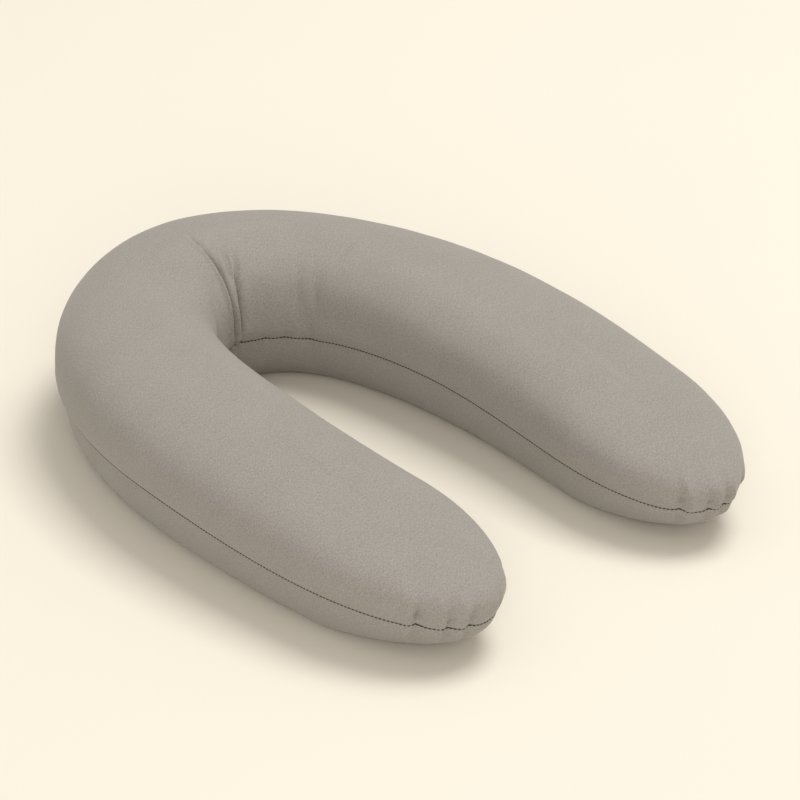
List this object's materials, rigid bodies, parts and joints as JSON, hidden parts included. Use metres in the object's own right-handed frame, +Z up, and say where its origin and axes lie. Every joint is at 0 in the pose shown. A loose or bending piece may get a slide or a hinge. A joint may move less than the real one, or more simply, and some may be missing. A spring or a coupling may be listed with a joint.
{
  "type": "nursing pillow",
  "caption": "U-shaped nursing pillow: a soft fibre-filled bolster in a grey jersey cover, sewn all round and closed by a zip at the back of the bend.",
  "frame": {"origin": "on the floor, under the centre of the pillow's bounding box", "axes": "+Z up; +Y from the open arms towards the back of the bend, along the pillow's length; +X across the two arms"},
  "size_m": [0.4602, 0.6132, 0.134],
  "materials": {
    "jersey": "brushed matte jersey",
    "seam_thread": "dark polyester thread",
    "cotton": "plain undyed cotton",
    "white_thread": "light thread",
    "fibre": "loose polyester fibre",
    "zip_thread": "grey thread",
    "zip_tape": "woven tape",
    "zip_coil": "nylon coil",
    "zip_metal": "plated die-cast metal",
    "label": "blank satin tape"
  },
  "bodies": {
    "pillow": {"cover_top": "jersey", "cover_bottom": "jersey", "seam_thread": "seam_thread", "casing_top": "cotton", "casing_bottom": "cotton", "casing_thread": "white_thread", "fibre_filling": "fibre", "zip_thread_upper": "zip_thread", "zip_thread_lower": "zip_thread", "zip_tape_upper": "zip_tape", "zip_tape_lower": "zip_tape", "zip_coil_upper": "zip_coil", "zip_coil_lower": "zip_coil", "zip_top_stop_upper": "zip_metal", "zip_top_stop_lower": "zip_metal", "zip_bottom_stop": "zip_metal", "care_label": "label"},
    "slider": {"zip_slider": "zip_metal"},
    "pull": {"zip_pull": "zip_metal"}
  },
  "joints": [
    {"name": "zip_slider_travel", "type": "hinge", "parent": "pillow", "child": "slider", "pos_m": [0, 0.10662, 0.045], "axis": [0, 0, 1], "range_deg": [0, 83]},
    {"name": "zip_pull_swing", "type": "hinge", "parent": "slider", "child": "pull", "pos_m": [0.12962, 0.25283, 0.045], "axis": [0, 0, -1], "range_deg": [0, 165]}
  ]
}
